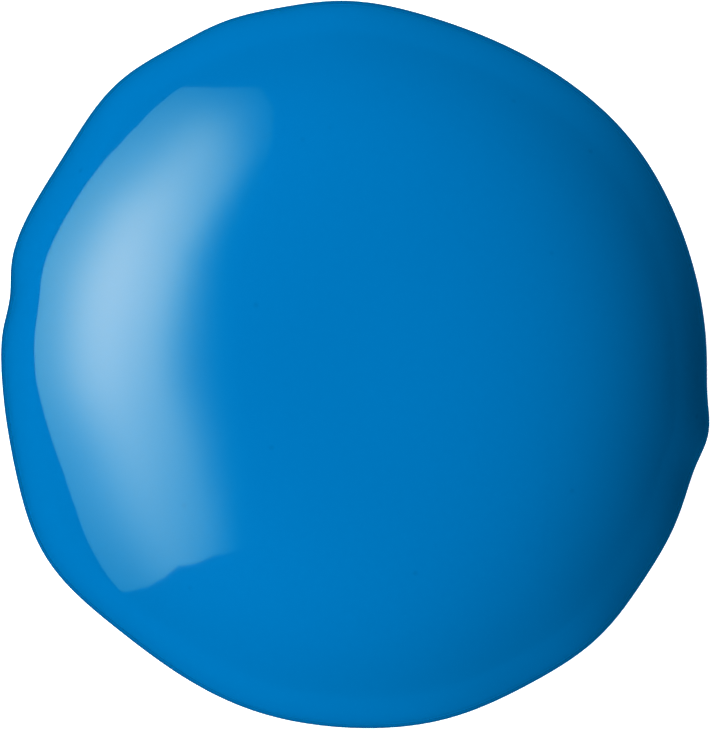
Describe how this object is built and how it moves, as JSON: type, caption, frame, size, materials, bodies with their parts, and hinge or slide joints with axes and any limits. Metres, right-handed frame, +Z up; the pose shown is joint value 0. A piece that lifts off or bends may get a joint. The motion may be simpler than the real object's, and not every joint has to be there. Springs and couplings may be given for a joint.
{
  "type": "paint dollop",
  "caption": "Round dollop of glossy blue artists' paint: a low dome with a lobed, rolled edge and a flat underside, skinned over a soft core.",
  "frame": {"origin": "middle of the flat underside, on the plane that the dollop rests on", "axes": "+Z up through the crown; +Y along the longer way across, towards the edge's largest lobe; +X across it"},
  "size_m": [0.027, 0.0276, 0.0068],
  "materials": {
    "paint_skin": "gloss",
    "paint_core": "gloss",
    "contact_film": "satin"
  },
  "bodies": {
    "root": {"paint_skin": "paint_skin", "paint_core": "paint_core", "contact_film": "contact_film"}
  },
  "joints": []
}
